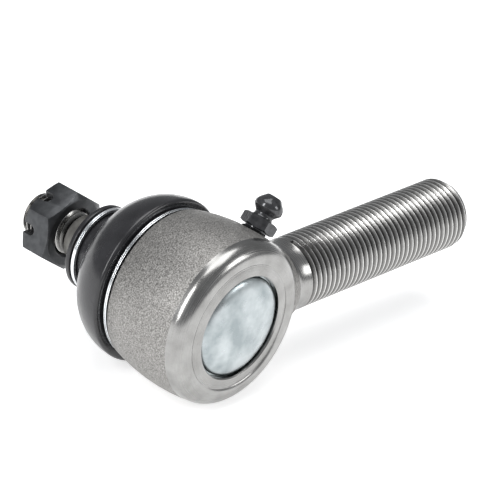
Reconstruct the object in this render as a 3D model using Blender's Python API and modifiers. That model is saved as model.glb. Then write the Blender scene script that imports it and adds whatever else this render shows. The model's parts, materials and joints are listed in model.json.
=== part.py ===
"""Tie rod end: a greasable ball joint with a threaded shank, a tapered stud and a slotted nut.

Metres, +Z up. The origin is the ball's centre. +X runs along the shank, +Y along the stud.
A station is a distance from the ball's centre along the piece's own axis.
"""

import math

import bmesh
import bpy

# Fits
CLEARANCE = 0.0003
CUT_MARGIN = 0.002
TILT_LIMIT = math.radians(20)
TILT_MARGIN = 0.0005
THREAD_DEPTH_RATIO = 0.6134

# How many flats stand for a round
ROUND_STEPS = 40
STUD_STEPS = 28
SHANK_STEPS = 18
NIPPLE_STEPS = 16
ARC_STEPS = 8
BALL_ARC_STEPS = 18
DOME_STEPS = 7
BARREL_SIDE_STEPS = 6
BOOT_DOME_STEPS = 8
BOOT_EDGE_STEPS = 2
VALLEY_STEPS = 4
CHECK_BALL_STEPS = 16
WIRE_STEPS = 12

# Ball stud
BALL_RADIUS = 0.010
BALL_FLAT_RADIUS = 0.0039
NECK_RADIUS = 0.0053
NECK_FILLET = 0.0008
TAPER_START = 0.0205
TAPER_LENGTH = 0.0164
TAPER_SMALL_RADIUS = 0.00510
TAPER_SLOPE = 1 / 16
STUD_THREAD_RADIUS = 0.005
STUD_THREAD_PITCH = 0.00125
STUD_RELIEF_LENGTH = 0.0010
STUD_RELIEF_DEPTH = 0.0008
STUD_TIP_CHAMFER = 0.0005
STUD_PROTRUSION = 0.0032
COTTER_HOLE_RADIUS = 0.0011

# Bearing seats, thrust washer, spring
SEAT_WALL = 0.0036
SEAT_SPLIT = 0.0006
UPPER_SEAT_RIM = 0.0012
LOWER_SEAT_WRAP = math.radians(33)
WASHER_THICKNESS = 0.0010
WASHER_WIDTH = 0.0045
SPRING_CONE_HEIGHT = 0.0007
SPRING_THICKNESS = 0.0004

# Housing
BARREL_WALL = 0.0050
BARREL_CROWN = -0.0010
BARREL_SWELL = 0.045
BARREL_TOP_WALL = 0.0069
SPIGOT_WALL = 0.0035
SPIGOT_LENGTH = 0.0031
GROOVE_DEPTH = 0.0006
GROOVE_WIDTH = 0.0019
PLATE_STEP = 0.0008
LIP_THICKNESS = 0.00115
LIP_OVERLAP = 0.0030
RIM_ROUNDING = 0.00345
RIM_INSET = 0.00045
EDGE_CHAMFER = 0.0003
SHOULDER_CHAMFER = 0.0006

# Closure plate
PLATE_THICKNESS = 0.0012
DOME_GAP = 0.0017

# Neck and threaded shank
SHANK_RADIUS = 0.008
SHANK_PITCH = 0.0015
SHANK_THREAD_TURN = math.radians(3)
NECK_LENGTH = 0.0068
NECK_FLARE = 0.0007
SHANK_THREAD_LENGTH = 0.0521
SHANK_TIP_CHAMFER = 0.0011
SHANK_TIP_CHAMFER_LENGTH = 0.0019

# Boot and its rings
BEAD_WALL = 0.0013
BOOT_WALL = 0.0018
BOOT_BULGE = 0.0026
BOOT_EDGE_ROUNDING = 0.0007
BOOT_DOME_RADIUS = 0.0122
BOOT_DOME_END = math.radians(62)
BOOT_REACH = 0.0172
BOOT_SMALL_WALL = 0.0027
BOOT_FLANGE_HEIGHT = 0.0010
BOOT_FLANGE_THICKNESS = 0.0012
BOOT_VALLEY_RADIUS = 0.0022
BOOT_VALLEY_END = math.radians(255)
RING_WIDTH = 0.0013
RING_THICKNESS = 0.0007

# Slotted nut
NUT_ACROSS_FLATS = 0.016
NUT_HEIGHT = 0.0075
NUT_CHAMFER_INSET = 0.0004
NUT_TURN = math.radians(4)
SLOT_TURN = NUT_TURN + math.pi / 6
NUT_GRIP_LENGTH = 0.0072
SLOT_WIDTH = 0.0025
SLOT_DEPTH = 0.0033

# Grease nipple
NIPPLE_TILT = math.radians(38)
NIPPLE_OFFSET = -0.001
NIPPLE_THREAD_RADIUS = 0.003
NIPPLE_PITCH = 0.001
NIPPLE_STANDOFF = 0.00055
NIPPLE_HEX = 0.007
NIPPLE_HEX_HEIGHT = 0.0025
NIPPLE_WAIST_RADIUS = 0.0021
NIPPLE_WAIST_LENGTH = 0.0011
NIPPLE_HEAD_RADIUS = 0.00325
NIPPLE_HEAD_BAND = 0.0008
NIPPLE_HEAD_LENGTH = 0.0042
NIPPLE_TIP_RADIUS = 0.0015
NIPPLE_MOUTH_RADIUS = 0.0007
NIPPLE_FOOT_LIP = 0.0007
CHECK_BALL_RADIUS = 0.001
NIPPLE_WIRE_RADIUS = 0.00015
NIPPLE_SPRING_TURNS = 6

# Stations along the stud, from the ball outwards. Plus is towards the stud's tip.
SEAT_RADIUS = BALL_RADIUS + CLEARANCE
SEAT_OUTER_RADIUS = SEAT_RADIUS + SEAT_WALL
BORE_RADIUS = SEAT_OUTER_RADIUS + CLEARANCE
BARREL_RADIUS = BORE_RADIUS + BARREL_WALL
MOUTH_OFFSET = NECK_RADIUS / math.cos(TILT_LIMIT) + TILT_MARGIN
SEAT_RIM_ANGLE = TILT_LIMIT + math.asin(MOUTH_OFFSET * math.cos(TILT_LIMIT) / SEAT_RADIUS)
UPPER_SEAT_TOP = SEAT_RADIUS * math.cos(SEAT_RIM_ANGLE) + UPPER_SEAT_RIM
BORE_SHOULDER = UPPER_SEAT_TOP + CLEARANCE
BARREL_TOP = BORE_SHOULDER + BARREL_TOP_WALL
BARREL_SHOULDER = BARREL_TOP - SPIGOT_LENGTH
LOWER_SEAT_BOTTOM = -SEAT_RADIUS * math.sin(LOWER_SEAT_WRAP)
WASHER_TOP = LOWER_SEAT_BOTTOM - CLEARANCE
WASHER_BOTTOM = WASHER_TOP - WASHER_THICKNESS
SPRING_TOP = WASHER_BOTTOM - CLEARANCE
SPRING_BOTTOM = SPRING_TOP - SPRING_CONE_HEIGHT
PLATE_TOP = SPRING_BOTTOM - CLEARANCE
PLATE_BOTTOM = PLATE_TOP - PLATE_THICKNESS
LIP_INSIDE = PLATE_BOTTOM - CLEARANCE
LIP_OUTSIDE = LIP_INSIDE - LIP_THICKNESS
BALL_FLAT = -math.sqrt(BALL_RADIUS**2 - BALL_FLAT_RADIUS**2)
DOME_APEX = BALL_FLAT - DOME_GAP - PLATE_THICKNESS
PLATE_RADIUS = BORE_RADIUS + PLATE_STEP - CLEARANCE
LIP_RADIUS = PLATE_RADIUS - LIP_OVERLAP

# The boot, its rings and the nut, placed from the barrel's end
SPIGOT_RADIUS = MOUTH_OFFSET + BARREL_TOP * math.tan(TILT_LIMIT) + SPIGOT_WALL
BEAD_INNER_RADIUS = SPIGOT_RADIUS - GROOVE_DEPTH + CLEARANCE
BEAD_OUTER_RADIUS = SPIGOT_RADIUS + BEAD_WALL
BEAD_BOTTOM = BARREL_SHOULDER + CLEARANCE
BEAD_TOP = BARREL_SHOULDER + GROOVE_WIDTH - CLEARANCE
BOOT_RADIUS = BEAD_OUTER_RADIUS + BOOT_BULGE
DOME_CENTRE_RADIUS = BOOT_RADIUS - BOOT_DOME_RADIUS
DOME_CENTRE = BEAD_TOP + CLEARANCE + BOOT_EDGE_ROUNDING
BOOT_END = BARREL_TOP + BOOT_REACH
SMALL_RING_TOP = BOOT_END - BOOT_FLANGE_THICKNESS - CLEARANCE
SMALL_RING_BOTTOM = SMALL_RING_TOP - RING_WIDTH
BOOT_VALLEY = SMALL_RING_BOTTOM - CLEARANCE - RING_WIDTH
NUT_BOTTOM = BOOT_END + NUT_GRIP_LENGTH
NUT_TOP = NUT_BOTTOM + NUT_HEIGHT
SLOT_FLOOR = NUT_TOP - SLOT_DEPTH
STUD_TIP = NUT_TOP + STUD_PROTRUSION
TAPER_END = TAPER_START + TAPER_LENGTH
BOOT_SMALL_INNER_RADIUS = TAPER_SMALL_RADIUS + (TAPER_END - BOOT_VALLEY) * TAPER_SLOPE + CLEARANCE
BOOT_SMALL_OUTER_RADIUS = BOOT_SMALL_INNER_RADIUS + BOOT_SMALL_WALL

# Stations along the shank and along the nipple, from the ball's centre
SHANK_THREAD_START = BARREL_RADIUS + NECK_LENGTH
SHANK_TIP = SHANK_THREAD_START + SHANK_THREAD_LENGTH
NIPPLE_FOOT = BORE_RADIUS + CLEARANCE
NIPPLE_HEX_BOTTOM = BARREL_RADIUS + NIPPLE_STANDOFF
NIPPLE_HEX_TOP = NIPPLE_HEX_BOTTOM + NIPPLE_HEX_HEIGHT
NIPPLE_HEAD_START = NIPPLE_HEX_TOP + NIPPLE_WAIST_LENGTH
NIPPLE_TIP = NIPPLE_HEAD_START + NIPPLE_HEAD_LENGTH
NIPPLE_BORE_RADIUS = CHECK_BALL_RADIUS + CLEARANCE
CHECK_SEAT = NIPPLE_TIP - (NIPPLE_BORE_RADIUS - NIPPLE_MOUTH_RADIUS) - NIPPLE_BORE_RADIUS
CHECK_BALL_CENTRE = CHECK_SEAT - NIPPLE_BORE_RADIUS * (math.sqrt(2) - 1)


def taper_radius(station):
    return TAPER_SMALL_RADIUS + (TAPER_END - station) * TAPER_SLOPE


def mouth_radius(station):
    """The room that the tilted neck needs at this station."""
    return MOUTH_OFFSET + station * math.tan(TILT_LIMIT)


def arc(centre_radius, centre_station, radius, start, end, count):
    """Points of an arc in a turned outline. Angle 0 points away from the axis, plus turns upwards."""
    angles = [start + (end - start) * step / count for step in range(count + 1)]
    return [
        (centre_radius + radius * math.cos(angle), centre_station + radius * math.sin(angle))
        for angle in angles
    ]


def clear_scene():
    for item in list(bpy.data.objects):
        bpy.data.objects.remove(item, do_unlink=True)


def new_collection(name, hidden):
    group = bpy.data.collections.new(name)
    group.hide_render = hidden
    bpy.context.scene.collection.children.link(group)
    return group


def new_empty(name, group, rotation, location=(0, 0, 0)):
    empty = bpy.data.objects.new(name, None)
    empty.rotation_euler = rotation
    empty.location = location
    empty.empty_display_size = BALL_RADIUS
    group.objects.link(empty)
    return empty


def new_piece(name, mesh, group, axis):
    piece = bpy.data.objects.new(name, mesh)
    piece.parent = axis
    group.objects.link(piece)
    return piece


def hide_cutter(cutter):
    cutter.hide_render = True
    cutter.display_type = "WIRE"
    return cutter


def turned(name, outline, group, axis, closed=False, steps=ROUND_STEPS):
    """Turns an outline of (radius, station) points about the local Z axis."""
    mesh = bpy.data.meshes.new(name)
    edges = [(i, i + 1) for i in range(len(outline) - 1)]
    if closed:
        edges.append((len(outline) - 1, 0))
    mesh.from_pydata([(radius, 0, station) for radius, station in outline], edges, [])
    piece = new_piece(name, mesh, group, axis)
    screw = piece.modifiers.new("turn", "SCREW")
    screw.steps = steps
    screw.render_steps = steps
    screw.use_merge_vertices = True
    screw.merge_threshold = 0.00001
    return piece


def drill(name, radius, start, end, group, axis):
    """A straight round cutter along the local Z axis."""
    outline = [(0, end), (radius, end), (radius, start), (0, start)]
    return hide_cutter(turned(name, outline, group, axis, steps=NIPPLE_STEPS))


def combine(piece, other, operation):
    boolean = piece.modifiers.new(other.name, "BOOLEAN")
    boolean.operation = operation
    boolean.solver = "EXACT"
    boolean.object = other


def apply_modifiers(piece):
    """Bakes a helper's modifiers into its mesh, so that its open ends can be filled."""
    graph = bpy.context.evaluated_depsgraph_get()
    mesh = bpy.data.meshes.new_from_object(piece.evaluated_get(graph))
    piece.modifiers.clear()
    piece.data = mesh


def thread_cutter(name, radius, pitch, start, end, group, axis, steps):
    """A V-shaped cutter wound along the thread, a little wider and deeper than the thread needs."""
    depth = THREAD_DEPTH_RATIO * pitch
    half_flat = pitch / 16
    slope = (pitch / 2 - half_flat) / depth
    reach = depth + half_flat / slope / 2
    half_width = reach * slope
    outline = [
        (radius - depth, start),
        (radius - depth + reach, start + half_width),
        (radius - depth + reach, start - half_width),
    ]
    cutter = turned(name, outline, group, axis, closed=True, steps=steps)
    screw = cutter.modifiers["turn"]
    screw.screw_offset = pitch
    screw.iterations = math.ceil((end - start) / pitch)
    bpy.context.view_layer.update()
    apply_modifiers(cutter)
    shape = bmesh.new()
    shape.from_mesh(cutter.data)
    bmesh.ops.holes_fill(shape, edges=[edge for edge in shape.edges if edge.is_boundary])
    bmesh.ops.recalc_face_normals(shape, faces=shape.faces)
    shape.to_mesh(cutter.data)
    shape.free()
    return hide_cutter(cutter)


def hexagon(name, across_flats, bottom, top, inset, group, cutters, axis, turn=0.0):
    """A hexagon prism whose corners are chamfered at both ends."""
    corner_radius = across_flats / 2 / math.cos(math.pi / 6)
    shape = bmesh.new()
    bmesh.ops.create_cone(
        shape,
        cap_ends=True,
        segments=6,
        radius1=corner_radius,
        radius2=corner_radius,
        depth=top - bottom,
    )
    bmesh.ops.translate(shape, verts=shape.verts, vec=(0, 0, (top + bottom) / 2))
    mesh = bpy.data.meshes.new(name)
    shape.to_mesh(mesh)
    shape.free()
    piece = new_piece(name, mesh, group, axis)
    piece.rotation_euler = (0, 0, turn)
    face_radius = across_flats / 2 - inset
    wide_radius = corner_radius + inset
    drop = (wide_radius - face_radius) * math.tan(math.pi / 6)
    outline = [
        (0, top + inset),
        (face_radius - inset / math.tan(math.pi / 6), top + inset),
        (wide_radius, top - drop),
        (wide_radius, bottom + drop),
        (face_radius - inset / math.tan(math.pi / 6), bottom - inset),
        (0, bottom - inset),
    ]
    chamfer = turned(name + "_chamfer", outline, cutters, axis)
    combine(piece, hide_cutter(chamfer), "INTERSECT")
    return piece


def slot_cutter(name, width, floor, top, length, turn, group, axis):
    """A bar with a half-round bottom, lying across the stud axis."""
    radius = width / 2
    bottom = arc(0, floor + radius, radius, math.pi, 2 * math.pi, ARC_STEPS)
    outline = [(-radius, top), *bottom, (radius, top)]
    curve = bpy.data.curves.new(name, "CURVE")
    curve.dimensions = "2D"
    curve.fill_mode = "BOTH"
    curve.extrude = length / 2
    spline = curve.splines.new("POLY")
    spline.points.add(len(outline) - 1)
    for point, (across, along) in zip(spline.points, outline):
        point.co = (across, along, 0, 1)
    spline.use_cyclic_u = True
    flat = bpy.data.objects.new(name + "_outline", curve)
    group.objects.link(flat)
    mesh = mesh_of_curve(flat)
    cutter = new_piece(name, mesh, group, axis)
    cutter.rotation_euler = (math.pi / 2, 0, turn)
    return hide_cutter(cutter)


def mesh_of_curve(curve_object):
    """The curve as a closed mesh, with the curve object removed."""
    bpy.context.view_layer.update()
    graph = bpy.context.evaluated_depsgraph_get()
    mesh = bpy.data.meshes.new_from_object(curve_object.evaluated_get(graph))
    shape = bmesh.new()
    shape.from_mesh(mesh)
    bmesh.ops.remove_doubles(shape, verts=shape.verts, dist=0.000001)
    shape.to_mesh(mesh)
    shape.free()
    bpy.data.objects.remove(curve_object, do_unlink=True)
    return mesh


def finish(piece, colour, metallic, roughness):
    material = bpy.data.materials.new(piece.name)
    material.use_nodes = True
    shader = material.node_tree.nodes["Principled BSDF"]
    shader.inputs["Base Color"].default_value = (*colour, 1.0)
    shader.inputs["Metallic"].default_value = metallic
    shader.inputs["Roughness"].default_value = roughness
    piece.data.materials.clear()
    piece.data.materials.append(material)
    piece.data.shade_smooth()


def make_housing(parts, cutters, stud_axis, shank_axis, nipple_axis):
    mouth_top = BARREL_TOP + CUT_MARGIN
    groove_top = BARREL_SHOULDER + GROOVE_WIDTH
    rim_centre = LIP_OUTSIDE + RIM_ROUNDING
    rim_radius = BARREL_RADIUS - RIM_INSET - RIM_ROUNDING
    side = barrel_side(BARREL_SHOULDER - SHOULDER_CHAMFER, rim_centre)
    barrel = [
        (0, BARREL_TOP),
        (SPIGOT_RADIUS - EDGE_CHAMFER, BARREL_TOP),
        (SPIGOT_RADIUS, BARREL_TOP - EDGE_CHAMFER),
        (SPIGOT_RADIUS, groove_top),
        (SPIGOT_RADIUS - GROOVE_DEPTH, groove_top),
        (SPIGOT_RADIUS - GROOVE_DEPTH, BARREL_SHOULDER),
        (side[0][0] - SHOULDER_CHAMFER, BARREL_SHOULDER),
        *side[:-1],
        *arc(rim_radius, rim_centre, RIM_ROUNDING, 0, -math.pi / 2, ARC_STEPS),
        (0, LIP_OUTSIDE),
    ]
    housing = turned("socket_housing", barrel, parts, stud_axis)
    cavity = [
        (0, mouth_top),
        (mouth_radius(mouth_top), mouth_top),
        (mouth_radius(BORE_SHOULDER), BORE_SHOULDER),
        (BORE_RADIUS, BORE_SHOULDER),
        (BORE_RADIUS, PLATE_TOP + CLEARANCE),
        (BORE_RADIUS + PLATE_STEP, PLATE_TOP + CLEARANCE),
        (BORE_RADIUS + PLATE_STEP, LIP_INSIDE),
        (LIP_RADIUS, LIP_INSIDE),
        (LIP_RADIUS, LIP_OUTSIDE + EDGE_CHAMFER),
        (LIP_RADIUS + EDGE_CHAMFER + CUT_MARGIN, LIP_OUTSIDE - CUT_MARGIN),
        (0, LIP_OUTSIDE - CUT_MARGIN),
    ]
    combine(housing, make_shank(cutters, shank_axis), "UNION")
    combine(housing, hide_cutter(turned("housing_cavity", cavity, cutters, stud_axis)), "DIFFERENCE")
    nipple_hole = drill(
        "nipple_hole",
        NIPPLE_THREAD_RADIUS + CLEARANCE,
        BORE_RADIUS - CUT_MARGIN,
        BARREL_RADIUS + CUT_MARGIN,
        cutters,
        nipple_axis,
    )
    combine(housing, nipple_hole, "DIFFERENCE")
    finish(housing, (0.30, 0.29, 0.28), 0.9, 0.45)
    return housing


def barrel_side(top, bottom):
    """The barrel's side is one long arc, widest at its crown."""
    stations = [top + (bottom - top) * step / BARREL_SIDE_STEPS for step in range(BARREL_SIDE_STEPS + 1)]
    return [
        (BARREL_RADIUS - (station - BARREL_CROWN) ** 2 / (2 * BARREL_SWELL), station)
        for station in stations
    ]


def make_shank(cutters, shank_axis):
    root = BORE_RADIUS + BARREL_WALL / 4
    outline = [
        (0, SHANK_TIP),
        (SHANK_RADIUS - SHANK_TIP_CHAMFER, SHANK_TIP),
        (SHANK_RADIUS, SHANK_TIP - SHANK_TIP_CHAMFER_LENGTH),
        (SHANK_RADIUS, BARREL_RADIUS + NECK_LENGTH / 2),
        (SHANK_RADIUS + NECK_FLARE, BARREL_RADIUS - BARREL_WALL / 2),
        (SHANK_RADIUS + NECK_FLARE, root),
        (0, root),
    ]
    shank = turned("threaded_shank", outline, cutters, shank_axis, steps=SHANK_STEPS)
    cutter = thread_cutter(
        "shank_thread",
        SHANK_RADIUS,
        SHANK_PITCH,
        SHANK_THREAD_START,
        SHANK_TIP + SHANK_PITCH,
        cutters,
        shank_axis,
        SHANK_STEPS,
    )
    cutter.rotation_euler = (0, 0, SHANK_THREAD_TURN)
    combine(shank, cutter, "DIFFERENCE")
    return hide_cutter(shank)


def make_closure_plate(parts, stud_axis):
    dome_radius = LIP_RADIUS - CLEARANCE - EDGE_CHAMFER
    inner_radius = dome_radius - PLATE_THICKNESS
    outer_rise = PLATE_BOTTOM - DOME_APEX
    inner_rise = PLATE_TOP - (DOME_APEX + PLATE_THICKNESS)
    angles = [math.pi / 2 * step / DOME_STEPS for step in range(DOME_STEPS + 1)]
    outer = [(dome_radius * math.cos(a), PLATE_BOTTOM - outer_rise * math.sin(a)) for a in angles]
    inner = [(inner_radius * math.cos(a), PLATE_TOP - inner_rise * math.sin(a)) for a in angles]
    outline = [
        *reversed(inner),
        (PLATE_RADIUS - EDGE_CHAMFER, PLATE_TOP),
        (PLATE_RADIUS, PLATE_TOP - EDGE_CHAMFER),
        (PLATE_RADIUS, PLATE_BOTTOM),
        *outer,
    ]
    plate = turned("closure_plate", outline, parts, stud_axis)
    finish(plate, (0.72, 0.76, 0.78), 1.0, 0.25)
    return plate


def make_upper_seat(parts, stud_axis):
    bottom = SEAT_SPLIT / 2
    start = math.asin(bottom / SEAT_RADIUS)
    bowl = arc(0, 0, SEAT_RADIUS, start, math.pi / 2 - SEAT_RIM_ANGLE, ARC_STEPS)
    outline = [
        (SEAT_OUTER_RADIUS - EDGE_CHAMFER, UPPER_SEAT_TOP),
        (SEAT_OUTER_RADIUS, UPPER_SEAT_TOP - EDGE_CHAMFER),
        (SEAT_OUTER_RADIUS, bottom),
        *bowl,
        (mouth_radius(UPPER_SEAT_TOP), UPPER_SEAT_TOP),
    ]
    seat = turned("upper_bearing_seat", outline, parts, stud_axis, closed=True)
    finish(seat, (0.75, 0.73, 0.66), 0.0, 0.5)
    return seat


def make_lower_seat(parts, stud_axis):
    top = -SEAT_SPLIT / 2
    end = math.asin(top / SEAT_RADIUS)
    bowl = arc(0, 0, SEAT_RADIUS, -LOWER_SEAT_WRAP, end, ARC_STEPS)
    outline = [
        (SEAT_OUTER_RADIUS, top),
        (SEAT_OUTER_RADIUS, LOWER_SEAT_BOTTOM + EDGE_CHAMFER),
        (SEAT_OUTER_RADIUS - EDGE_CHAMFER, LOWER_SEAT_BOTTOM),
        *bowl,
    ]
    seat = turned("lower_bearing_seat", outline, parts, stud_axis, closed=True)
    finish(seat, (0.75, 0.73, 0.66), 0.0, 0.5)
    return seat


def make_thrust_washer(parts, stud_axis):
    inner = SEAT_OUTER_RADIUS - WASHER_WIDTH
    outline = [
        (SEAT_OUTER_RADIUS, WASHER_TOP),
        (SEAT_OUTER_RADIUS, WASHER_BOTTOM),
        (inner, WASHER_BOTTOM),
        (inner, WASHER_TOP),
    ]
    washer = turned("thrust_washer", outline, parts, stud_axis, closed=True)
    finish(washer, (0.42, 0.42, 0.43), 1.0, 0.4)
    return washer


def make_preload_spring(parts, stud_axis):
    """A conical spring washer: its inner edge pushes on the washer, its outer edge on the plate."""
    inner = SEAT_OUTER_RADIUS - WASHER_WIDTH
    fall = SPRING_CONE_HEIGHT - SPRING_THICKNESS
    outline = [
        (SEAT_OUTER_RADIUS, SPRING_TOP - fall),
        (SEAT_OUTER_RADIUS, SPRING_BOTTOM),
        (inner, SPRING_TOP - SPRING_THICKNESS),
        (inner, SPRING_TOP),
    ]
    spring = turned("preload_spring", outline, parts, stud_axis, closed=True)
    finish(spring, (0.30, 0.31, 0.34), 1.0, 0.3)
    return spring


def make_ball_stud(parts, cutters, stud_axis):
    relief_end = TAPER_END + STUD_RELIEF_LENGTH
    relief_radius = STUD_THREAD_RADIUS - STUD_RELIEF_DEPTH
    neck_angle = math.acos(NECK_RADIUS / BALL_RADIUS)
    flat_angle = -math.acos(BALL_FLAT_RADIUS / BALL_RADIUS)
    neck_start = BALL_RADIUS * math.sin(neck_angle)
    ball_start = neck_angle - NECK_FILLET / BALL_RADIUS
    outline = [
        (0, STUD_TIP),
        (STUD_THREAD_RADIUS - STUD_TIP_CHAMFER, STUD_TIP),
        (STUD_THREAD_RADIUS, STUD_TIP - STUD_TIP_CHAMFER),
        (STUD_THREAD_RADIUS, relief_end + STUD_RELIEF_DEPTH),
        (relief_radius, relief_end),
        (relief_radius, TAPER_END + STUD_RELIEF_DEPTH / 2),
        (taper_radius(TAPER_END), TAPER_END),
        (taper_radius(TAPER_START), TAPER_START),
        (NECK_RADIUS, TAPER_START - 2 * NECK_FILLET),
        (NECK_RADIUS, neck_start + NECK_FILLET),
        *arc(0, 0, BALL_RADIUS, ball_start, flat_angle, BALL_ARC_STEPS),
        (0, BALL_FLAT),
    ]
    stud = turned("ball_stud", outline, parts, stud_axis, steps=STUD_STEPS)
    cutter = thread_cutter(
        "stud_thread",
        STUD_THREAD_RADIUS,
        STUD_THREAD_PITCH,
        relief_end,
        STUD_TIP + STUD_THREAD_PITCH,
        cutters,
        stud_axis,
        STUD_STEPS,
    )
    combine(stud, cutter, "DIFFERENCE")
    half_length = STUD_THREAD_RADIUS + CUT_MARGIN
    cotter_hole = drill("cotter_hole", COTTER_HOLE_RADIUS, -half_length, half_length, cutters, stud_axis)
    cotter_hole.location = (0, 0, SLOT_FLOOR + SLOT_WIDTH / 2)
    cotter_hole.rotation_euler = (math.pi / 2, 0, SLOT_TURN)
    combine(stud, cotter_hole, "DIFFERENCE")
    finish(stud, (0.33, 0.32, 0.31), 1.0, 0.35)
    return stud


def make_slotted_nut(parts, cutters, stud_axis):
    nut = hexagon(
        "slotted_nut",
        NUT_ACROSS_FLATS,
        NUT_BOTTOM,
        NUT_TOP,
        NUT_CHAMFER_INSET,
        parts,
        cutters,
        stud_axis,
        NUT_TURN,
    )
    bore_radius = STUD_THREAD_RADIUS + CLEARANCE
    bore = [
        (0, NUT_TOP + CUT_MARGIN),
        (bore_radius + EDGE_CHAMFER + CUT_MARGIN, NUT_TOP + CUT_MARGIN),
        (bore_radius, NUT_TOP - EDGE_CHAMFER),
        (bore_radius, NUT_BOTTOM + EDGE_CHAMFER),
        (bore_radius + EDGE_CHAMFER + CUT_MARGIN, NUT_BOTTOM - CUT_MARGIN),
        (0, NUT_BOTTOM - CUT_MARGIN),
    ]
    combine(nut, hide_cutter(turned("nut_bore", bore, cutters, stud_axis)), "DIFFERENCE")
    for count in range(3):
        slot = slot_cutter(
            f"nut_slot_{count + 1}",
            SLOT_WIDTH,
            SLOT_FLOOR,
            NUT_TOP + CUT_MARGIN,
            NUT_ACROSS_FLATS + 2 * CUT_MARGIN,
            SLOT_TURN + count * math.pi / 3,
            cutters,
            stud_axis,
        )
        combine(nut, slot, "DIFFERENCE")
    finish(nut, (0.035, 0.037, 0.04), 0.8, 0.4)
    return nut


def make_boot(parts, stud_axis):
    inner_dome = BOOT_DOME_RADIUS - BOOT_WALL
    dome_start = math.asin((BARREL_TOP - DOME_CENTRE) / inner_dome)
    edge_radius = BOOT_RADIUS - BOOT_EDGE_ROUNDING
    flange_radius = BOOT_SMALL_OUTER_RADIUS + BOOT_FLANGE_HEIGHT
    valley_centre = BOOT_SMALL_OUTER_RADIUS + BOOT_VALLEY_RADIUS
    inner_valley = BOOT_VALLEY_RADIUS + BOOT_WALL
    outline = [
        (flange_radius - EDGE_CHAMFER, BOOT_END),
        (flange_radius, BOOT_END - EDGE_CHAMFER),
        (flange_radius, SMALL_RING_TOP + CLEARANCE),
        (BOOT_SMALL_OUTER_RADIUS, SMALL_RING_TOP + CLEARANCE),
        *arc(valley_centre, BOOT_VALLEY, BOOT_VALLEY_RADIUS, math.pi, BOOT_VALLEY_END, VALLEY_STEPS),
        *arc(DOME_CENTRE_RADIUS, DOME_CENTRE, BOOT_DOME_RADIUS, BOOT_DOME_END, 0, BOOT_DOME_STEPS),
        *arc(edge_radius, DOME_CENTRE, BOOT_EDGE_ROUNDING, 0, -math.pi / 2, BOOT_EDGE_STEPS)[1:],
        (BEAD_OUTER_RADIUS, BEAD_TOP + CLEARANCE),
        (BEAD_OUTER_RADIUS, BEAD_BOTTOM),
        (BEAD_INNER_RADIUS, BEAD_BOTTOM),
        (BEAD_INNER_RADIUS, BEAD_TOP),
        (SPIGOT_RADIUS + CLEARANCE, BEAD_TOP),
        (SPIGOT_RADIUS + CLEARANCE, BARREL_TOP),
        *arc(DOME_CENTRE_RADIUS, DOME_CENTRE, inner_dome, dome_start, BOOT_DOME_END, BOOT_DOME_STEPS),
        *arc(valley_centre, BOOT_VALLEY, inner_valley, BOOT_VALLEY_END, math.pi, VALLEY_STEPS),
        (BOOT_SMALL_INNER_RADIUS, SMALL_RING_BOTTOM - CLEARANCE),
        (BOOT_SMALL_INNER_RADIUS, BOOT_END),
    ]
    boot = turned("dust_boot", outline, parts, stud_axis, closed=True)
    finish(boot, (0.03, 0.03, 0.033), 0.0, 0.45)
    return boot


def make_ring(name, inner_radius, bottom, parts, stud_axis):
    """A flat spring ring of two turns, with a shallow groove where the turns meet."""
    outer_radius = inner_radius + RING_THICKNESS
    top = bottom + RING_WIDTH
    middle = (bottom + top) / 2
    notch = RING_THICKNESS / 4
    outline = [
        (outer_radius, top),
        (outer_radius, middle + notch),
        (outer_radius - notch, middle),
        (outer_radius, middle - notch),
        (outer_radius, bottom),
        (inner_radius, bottom),
        (inner_radius, top),
    ]
    ring = turned(name, outline, parts, stud_axis, closed=True)
    finish(ring, (0.80, 0.82, 0.84), 1.0, 0.2)
    return ring


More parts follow.
